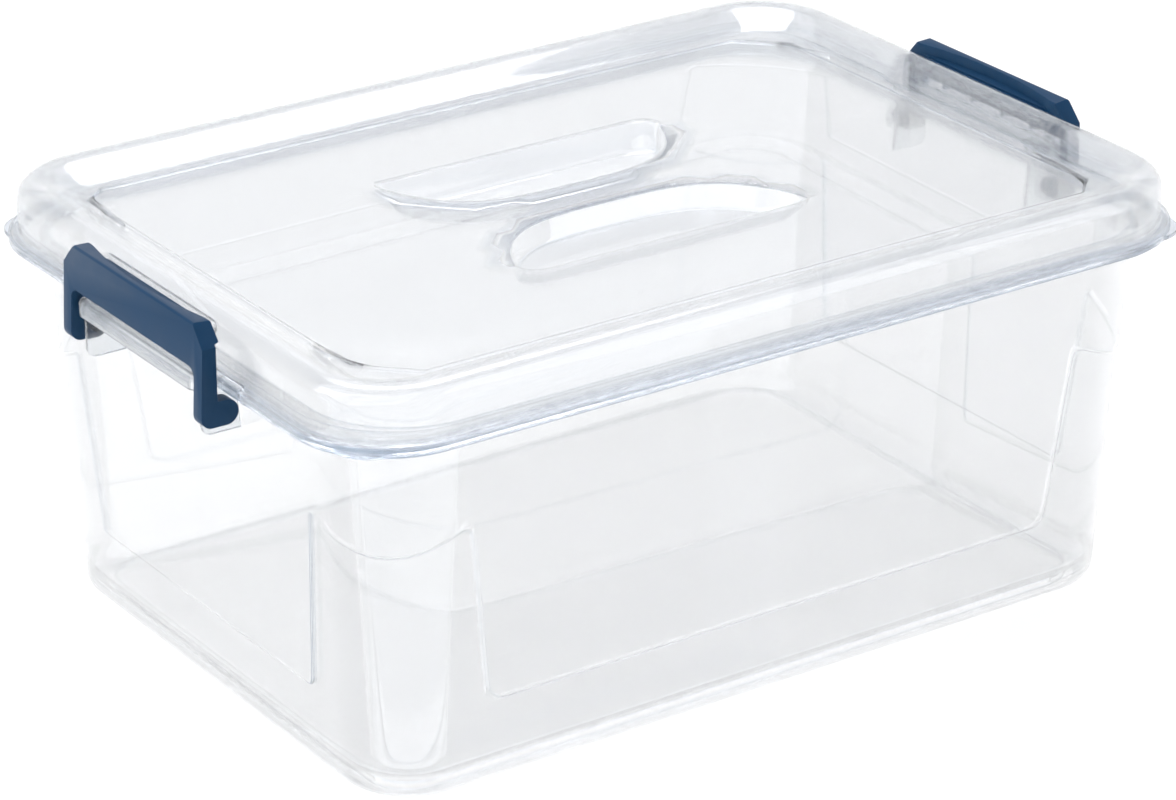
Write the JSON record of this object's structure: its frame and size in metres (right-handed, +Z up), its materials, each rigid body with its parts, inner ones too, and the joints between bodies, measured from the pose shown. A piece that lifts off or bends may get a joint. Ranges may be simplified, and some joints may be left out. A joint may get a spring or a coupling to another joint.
{
  "type": "latching storage box",
  "caption": "Clear moulded storage tub with a lift-off lid and swinging latch handles at both ends.",
  "frame": {"origin": "middle of the footprint, on the surface the box stands on", "axes": "+X along the long side towards the right latch, +Y across, +Z up"},
  "size_m": [0.6302, 0.434, 0.2694],
  "materials": {
    "clear_tub": "clear moulded polypropylene",
    "clear_lid": "clear moulded polypropylene",
    "blue_latch": "blue moulded polypropylene, satin gloss"
  },
  "bodies": {
    "tub": {"tub": "clear_tub"},
    "lid": {"lid": "clear_lid"},
    "latch_left": {"latch_left": "blue_latch"},
    "latch_right": {"latch_right": "blue_latch"}
  },
  "joints": [
    {"name": "latch_left_hinge", "type": "hinge", "parent": "tub", "child": "latch_left", "pos_m": [-0.3005, 0, 0.2165], "axis": [0, -1, 0], "range_deg": [0, 150]},
    {"name": "latch_right_hinge", "type": "hinge", "parent": "tub", "child": "latch_right", "pos_m": [0.3005, 0, 0.2165], "axis": [0, 1, 0], "range_deg": [0, 150]},
    {"name": "lid_lift", "type": "slide", "parent": "tub", "child": "lid", "axis": [0, 0, 1], "range_m": [0, 0.06]}
  ],
  "couplings": [
    {"joint": "latch_left_hinge", "follows": "lid_lift", "rad_per_m": 43.633},
    {"joint": "latch_right_hinge", "follows": "lid_lift", "rad_per_m": 43.633}
  ]
}
